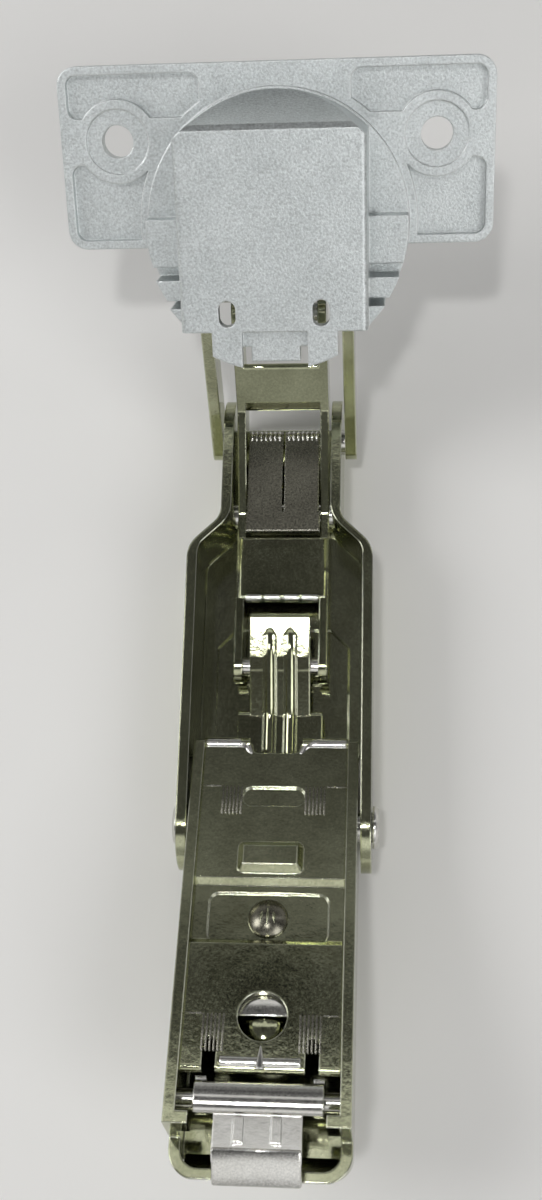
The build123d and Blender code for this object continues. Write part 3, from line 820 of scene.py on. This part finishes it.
@dataclass
class CoilDress:
    """The latch's coil spring, wound on its pin in the arm's frame.

    Attributes:
        along: Place of the pin along the arm.
        up: Height of the pin.
        half: Half of the coil's length.
        wire: Radius of the wire.
        turns: Number of turns.
        coil: Radius of the coil's middle line.
        turn_steps: Points in one turn.
    """

    along: float = -35.9
    up: float = 2.0
    half: float = 2.9
    wire: float = 0.25
    turns: float = 9.5
    coil: float = 1.48
    turn_steps: int = 18
    wire_sides: int = 8

    def build(self, shop: Shop) -> None:
        """Wind the coil, which stands for the plain sleeve.

        Args:
            shop: Maker of the pieces.
        """
        steps = int(self.turns * self.turn_steps)
        path = []
        for step in range(steps + 1):
            angle = 2.0 * math.pi * self.turns * step / steps
            across = -self.half + self.wire + 2.0 * (self.half - self.wire) * step / steps
            along = self.along + self.coil * math.cos(angle)
            path.append(Vector((across, along, self.up + self.coil * math.sin(angle))))
        shape = bmesh.new()
        add_rod(shape, path, [self.wire] * len(path), sides=self.wire_sides)
        coil = shop.piece(shape, "latch_coil", ARM_FRAME, "arm", Metal.SPRING_STEEL)
        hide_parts("latch_spring")


@dataclass
class LeverDress:
    """The release lever's round bar and its thumb tab's bent-down face, drawn in the arm's frame.

    Attributes:
        bend: Place along and up of the face's upper end.
        end: Place along and up of the face's lower end.
        half: Half of the face's width.
        wall: Thickness of the face.
        edge: Rounding of the face's edges.
        bar_half: Half of the bar's length.
        bar_along: Place of the bar along the arm.
        bar_up: Height of the bar's middle.
        bar_reach: Half of the bar's depth along the arm.
        bar_height: Half of the bar's height.
    """

    bend: tuple[float, float] = (-42.3, 4.24)
    end: tuple[float, float] = (-44.86, 2.14)
    half: float = 5.2
    wall: float = 1.24
    edge: float = 0.3
    bar_half: float = 7.58
    bar_along: float = -36.4
    bar_up: float = 4.88
    bar_reach: float = 1.85
    bar_height: float = 1.02
    bar_sides: int = 40

    def build(self, shop: Shop) -> None:
        """Make the bar and the face.

        Args:
            shop: Maker of the pieces.
        """
        shop.piece(self._bar(), "lever_bar_round", ARM_FRAME, "lever", Metal.BRIGHT_STEEL)
        shop.piece(self._face(), "lever_tab_face", ARM_FRAME, "lever", Metal.BRIGHT_STEEL)

    def _bar(self) -> bmesh.types.BMesh:
        """Draw the bar, with an oval section.

        Returns:
            The bar as one shape.
        """
        shape = bmesh.new()
        oval = Matrix.Diagonal((1.0, self.bar_reach, self.bar_height, 1.0))
        turn = Matrix.Rotation(math.radians(90.0), 4, "Y")
        place = Matrix.Translation((0.0, self.bar_along, self.bar_up)) @ oval @ turn
        bmesh.ops.create_cone(
            shape,
            cap_ends=True,
            segments=self.bar_sides,
            radius1=1.0,
            radius2=1.0,
            depth=2 * self.bar_half,
            matrix=place,
        )
        return shape

    def _face(self) -> bmesh.types.BMesh:
        """Draw the bent-down face.

        Returns:
            The face as one shape.
        """
        along = self.bend[0] - self.end[0]
        up = self.bend[1] - self.end[1]
        middle = Vector((0.0, (self.bend[0] + self.end[0]) / 2, (self.bend[1] + self.end[1]) / 2))
        size = Vector((2 * self.half, math.hypot(along, up) + self.wall, self.wall))
        shape = bmesh.new()
        add_ridge(shape, middle, size, self.edge, tilt=math.degrees(math.atan2(up, along)))
        return shape


@dataclass
class TailDress:
    """The sloped end of the arm's floor, drawn in the arm's frame."""

    half: float = 9.2
    edge: float = 0.2
    along: float = -42.45
    up: float = -2.35
    length: float = 3.4
    wall: float = 0.8
    slope: float = -45.0

    def build(self, shop: Shop) -> None:
        """Make the sloped floor.

        Args:
            shop: Maker of the pieces.
        """
        shape = bmesh.new()
        size = Vector((2 * self.half, self.length, self.wall))
        add_ridge(shape, Vector((0.0, self.along, self.up)), size, self.edge, tilt=self.slope)
        shop.piece(shape, "arm_tail_floor", ARM_FRAME, "arm", Metal.PLATED_STEEL)


@dataclass
class WindowDress:
    """The bridge between the arm's walls, seen through the screw's window, in the arm's frame."""

    half: float = 9.5
    along: float = -24.7
    up: float = 4.05
    length: float = 3.8
    wall: float = 0.3
    edge: float = 0.05
    slope: float = 2.5

    def build(self, shop: Shop) -> None:
        """Make the bridge.

        Args:
            shop: Maker of the pieces.
        """
        shape = bmesh.new()
        size = Vector((2 * self.half, self.length, self.wall))
        add_ridge(shape, Vector((0.0, self.along, self.up)), size, self.edge, tilt=self.slope)
        shop.piece(shape, "window_bridge", ARM_FRAME, "arm", Metal.BRIGHT_STEEL)


@dataclass
class TongueDress:
    """Round beads of the tongue, drawn in the housing's frame.

    Attributes:
        across: Place of the beads from the middle.
        radius: Radius of the beads.
        tip: Shares of the radius at the first two points.
        path: Places along and up the tongue.
    """

    across: float = 1.4
    radius: float = 0.86
    tip: tuple[float, float] = (0.25, 0.75)
    sides: int = 16
    path: tuple[tuple[float, float], ...] = (
        (27.0, 7.40),
        (26.5, 7.59),
        (25.6, 7.57),
        (23.6, 7.18),
        (22.4, 6.81),
        (16.3, 4.73),
        (15.2, 4.42),
        (13.8, 4.40),
        (5.4, 4.75),
    )

    def build(self, shop: Shop) -> None:
        """Make both beads.

        Args:
            shop: Maker of the pieces.
        """
        shape = bmesh.new()
        radii = [share * self.radius for share in self.tip]
        radii += [self.radius] * (len(self.path) - len(self.tip))
        for side in Side:
            spots = [Vector((side.value * self.across, along, up)) for along, up in self.path]
            add_rod(shape, spots, radii, sides=self.sides)
        shop.piece(shape, "tongue_beads", HOUSING_FRAME, "tongue", Metal.PLATED_STEEL)


@dataclass
class LinkDress:
    """Small teeth of the closing spring and the rim of the inner link's web, in the housing's frame.

    Attributes:
        tooth_span: Width of the row of teeth.
        tooth_gap: Half of the free room in the middle of the row.
        tooth: Angle round the roll, and a tooth's radius there.
        roll_along: Place of the spring's roll along the housing.
        roll_up: Height of the spring's roll.
        roll_radius: Radius of the spring's roll.
        rim_parts: Lengths that the nicks split the rim into.
        rim: Share of one length, and its radius there.
    """

    tooth_count: int = 15
    tooth_span: float = 9.2
    tooth_gap: float = 0.3
    tooth: tuple[tuple[float, float], ...] = (
        (35.0, 0.12),
        (60.0, 0.2),
        (90.0, 0.22),
        (120.0, 0.2),
        (145.0, 0.12),
    )
    tooth_sides: int = 8
    roll_along: float = 54.6
    roll_up: float = 7.1
    roll_radius: float = 1.02
    rim_along: float = 31.5
    rim_up: float = 6.2
    rim_half: float = 5.2
    rim_parts: int = 4
    rim: tuple[tuple[float, float], ...] = ((0.02, 0.4), (0.1, 0.62), (0.9, 0.62), (0.98, 0.4))
    rim_sides: int = 16

    def build(self, shop: Shop) -> None:
        """Make the teeth and the rim.

        Args:
            shop: Maker of the pieces.
        """
        shop.piece(self._teeth(), "spring_teeth", HOUSING_FRAME, "inner", Metal.BRIGHT_STEEL)
        shop.piece(self._rim(), "web_rim", HOUSING_FRAME, "inner", Metal.BRIGHT_STEEL)

    def _teeth(self) -> bmesh.types.BMesh:
        """Draw a row of teeth round the roll's top.

        Returns:
            The teeth as one shape.
        """
        shape = bmesh.new()
        for tooth in range(self.tooth_count):
            across = self.tooth_span * (tooth / (self.tooth_count - 1) - 0.5)
            if abs(across) < self.tooth_gap:
                continue
            path = []
            for angle, _ in self.tooth:
                turn = math.radians(angle)
                along = self.roll_along + self.roll_radius * math.cos(turn)
                path.append(Vector((across, along, self.roll_up + self.roll_radius * math.sin(turn))))
            add_rod(shape, path, [radius for _, radius in self.tooth], sides=self.tooth_sides)
        return shape

    def _rim(self) -> bmesh.types.BMesh:
        """Draw the folded rim, with a shallow nick between its lengths.

        Returns:
            The rim as one shape.
        """
        shape = bmesh.new()
        length = 2 * self.rim_half / self.rim_parts
        radii = [radius for _, radius in self.rim]
        for part in range(self.rim_parts):
            start = -self.rim_half + part * length
            spots = [Vector((start + share * length, self.rim_along, self.rim_up)) for share, _ in self.rim]
            add_rod(shape, spots, radii, sides=self.rim_sides)
        return shape


@dataclass
class Studio:
    """The floor, the room, the lamps and the camera.

    Attributes:
        camera_place: Place of the camera, in millimetres.
        camera_turn: Turn of the camera, in degrees.
        focal_pixels: Focal length in pixels of an image of image_height.
        lights: Place, size and power of each lamp, in metres and watts.
        lamp_aim: Point that the lamps face.
        room: Tone of the room by how far a direction points along the hinge.
        middle: How far across the middle of the darker room points.
        side_start: Distance from the middle where the room's sides start, and where they are full.
        side_tone: Least tone of the room's sides.
        wall_tone: Tone of the walls, low down.
        wall_height: How far up a direction points where the walls end, and where the bands are full.
    """

    camera_place: tuple[float, float, float] = (15.86, -47.72, 197.7)
    camera_turn: tuple[float, float, float] = (15.46, 4.79, 1.41)
    focal_pixels: float = 1439.4
    image_height: float = 1200.0
    sensor_height: float = 36.0
    clip_start: float = 0.005
    floor_size: float = 3.0
    floor_cells: int = 8
    floor_tone: Colour = (0.90, 0.89, 0.87)
    floor_shade: float = 0.96
    floor_roughness: float = 0.7
    mottle_scale: float = 40.0
    mottle_detail: float = 5.0
    lights: dict[str, tuple[tuple[float, float, float], float, float]] = field(
        default_factory=lambda: {
            "key": ((-0.08, -0.11, 1.0), 0.08, 1.5),
            "left": ((-0.50, 0.05, 0.42), 0.30, 1.4),
            "right": ((0.42, -0.32, 0.50), 0.35, 1.1),
        }
    )
    lamp_aim: tuple[float, float, float] = (0.0, 0.0, 0.01)
    room: tuple[tuple[float, float], ...] = (
        (-1.0, 0.25),
        (-0.82, 0.90),
        (-0.64, 0.90),
        (-0.45, 0.09),
        (-0.05, 0.05),
        (0.38, 0.05),
        (0.43, 1.00),
        (0.515, 1.00),
        (0.54, 0.03),
        (0.56, 0.01),
        (0.60, 0.01),
        (0.62, 0.30),
        (0.65, 0.18),
        (0.69, 0.12),
        (0.75, 0.06),
        (0.85, 0.20),
        (1.0, 0.12),
    )
    middle: float = -0.09
    side_start: tuple[float, float] = (0.015, 0.05)
    side_tone: float = 0.09
    wall_tone: Colour = (0.42, 0.42, 0.41)
    wall_height: tuple[float, float] = (0.18, 0.42)

    def build(self) -> None:
        """Set the whole studio up."""
        self._floor()
        self._world()
        self._lamps()
        self._camera()
        bpy.context.scene.view_settings.view_transform = "Standard"

    def _floor(self) -> None:
        """Lay the pale floor."""
        mesh = bpy.data.meshes.new("studio_floor")
        shape = bmesh.new()
        cells = self.floor_cells
        bmesh.ops.create_grid(shape, x_segments=cells, y_segments=cells, size=self.floor_size / 2)
        shape.to_mesh(mesh)
        shape.free()
        floor = bpy.data.objects.new("studio_floor", mesh)
        bpy.context.scene.collection.objects.link(floor)
        material = bpy.data.materials.new("studio_floor")
        material.use_nodes = True
        nodes = NodeTree(material.node_tree)
        shader = material.node_tree.nodes["Principled BSDF"]
        shader.inputs["Roughness"].default_value = self.floor_roughness
        place = nodes.add("ShaderNodeTexCoord")
        mottle = nodes.add("ShaderNodeTexNoise", detail=self.mottle_detail, scale=self.mottle_scale)
        nodes.join(place.outputs["Object"], mottle.inputs["Vector"])
        darker = tuple(self.floor_shade * channel for channel in self.floor_tone)
        tone = nodes.mix(mottle.outputs["Fac"], self.floor_tone, darker)
        nodes.join(tone, shader.inputs["Base Color"])
        mesh.materials.append(material)

    def _world(self) -> None:
        """Give the room plain walls and soft bands overhead, as softboxes would."""
        world = bpy.data.worlds.new("studio_room")
        world.use_nodes = True
        bpy.context.scene.world = world
        nodes = NodeTree(world.node_tree)
        back = world.node_tree.nodes["Background"]
        place = nodes.add("ShaderNodeTexCoord")
        parts = nodes.add("ShaderNodeSeparateXYZ")
        nodes.join(place.outputs["Generated"], parts.inputs["Vector"])
        sides = nodes.mix(
            self._aside(nodes, parts.outputs["X"]),
            self._bands(nodes, parts.outputs["Y"]),
            (self.side_tone, self.side_tone, self.side_tone),
            blend="LIGHTEN",
        )
        overhead = nodes.fade(parts.outputs["Z"], self.wall_height)
        nodes.join(nodes.mix(overhead, self.wall_tone, sides), back.inputs["Color"])
        back.inputs["Strength"].default_value = 1.0

    def _bands(self, nodes: NodeTree, along: bpy.types.NodeSocket) -> bpy.types.NodeSocket:
        """Lay the bands across the hinge.

        Args:
            nodes: The world's tree.
            along: Socket that says how far a direction points along the hinge.

        Returns:
            Socket that gives the bands' colour.
        """
        share = nodes.add("ShaderNodeMapRange")
        share.inputs["From Min"].default_value = -1.0
        nodes.join(along, share.inputs["Value"])
        ramp = nodes.add("ShaderNodeValToRGB")
        bands = ramp.color_ramp
        bands.interpolation = "EASE"
        for stop, (_, tone) in zip(bands.elements, (self.room[0], self.room[-1])):
            stop.color = (tone, tone, tone, 1.0)
        for place, tone in self.room[1:-1]:
            bands.elements.new((place + 1.0) / 2.0).color = (tone, tone, tone, 1.0)
        nodes.join(share.outputs["Result"], ramp.inputs["Fac"])
        return ramp.outputs["Color"]

    def _aside(self, nodes: NodeTree, across: bpy.types.NodeSocket) -> bpy.types.NodeSocket:
        """Find how far a direction lies from the room's middle.

        Args:
            nodes: The world's tree.
            across: Socket that says how far a direction points across the hinge.

        Returns:
            Socket that gives 0 in the middle and 1 at the sides.
        """
        offset = nodes.add("ShaderNodeMath", operation="SUBTRACT")
        offset.inputs[1].default_value = self.middle
        nodes.join(across, offset.inputs[0])
        distance = nodes.add("ShaderNodeMath", operation="ABSOLUTE")
        nodes.join(offset.outputs["Value"], distance.inputs[0])
        return nodes.fade(distance.outputs["Value"], self.side_start)

    def _lamps(self) -> None:
        """Hang the soft lamps."""
        aim = Vector(self.lamp_aim)
        for name, (place, size, power) in self.lights.items():
            lamp = bpy.data.lights.new(f"studio_{name}", "AREA")
            lamp.size = size
            lamp.energy = power
            stand = bpy.data.objects.new(f"studio_{name}", lamp)
            stand.location = place
            stand.rotation_euler = (aim - Vector(place)).to_track_quat("-Z", "Y").to_euler()
            bpy.context.scene.collection.objects.link(stand)

    def _camera(self) -> None:
        """Stand the camera where the photograph was taken from."""
        camera = bpy.data.cameras.new("studio_camera")
        camera.sensor_fit = "VERTICAL"
        camera.sensor_height = self.sensor_height
        camera.lens = self.sensor_height * self.focal_pixels / self.image_height
        camera.clip_start = self.clip_start
        stand = bpy.data.objects.new("studio_camera", camera)
        stand.location = Vector(self.camera_place) * MILLIMETRE
        stand.rotation_euler = [math.radians(angle) for angle in self.camera_turn]
        bpy.context.scene.collection.objects.link(stand)
        bpy.context.scene.camera = stand


def main() -> None:
    """Dress the hinge and set the studio up."""
    logging.basicConfig(level=logging.INFO, format="%(name)s: %(message)s")
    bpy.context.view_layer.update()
    finishes = Finishes()
    CarriedNodes().dress(finishes)
    shop = Shop(finishes)
    arm_side = (PlateDress(), CamDress(), CoilDress(), LeverDress(), TailDress(), WindowDress())
    for dress in (*arm_side, TongueDress(), LinkDress()):
        dress.build(shop)
    Studio().build()


if __name__ == "__main__":
    main()
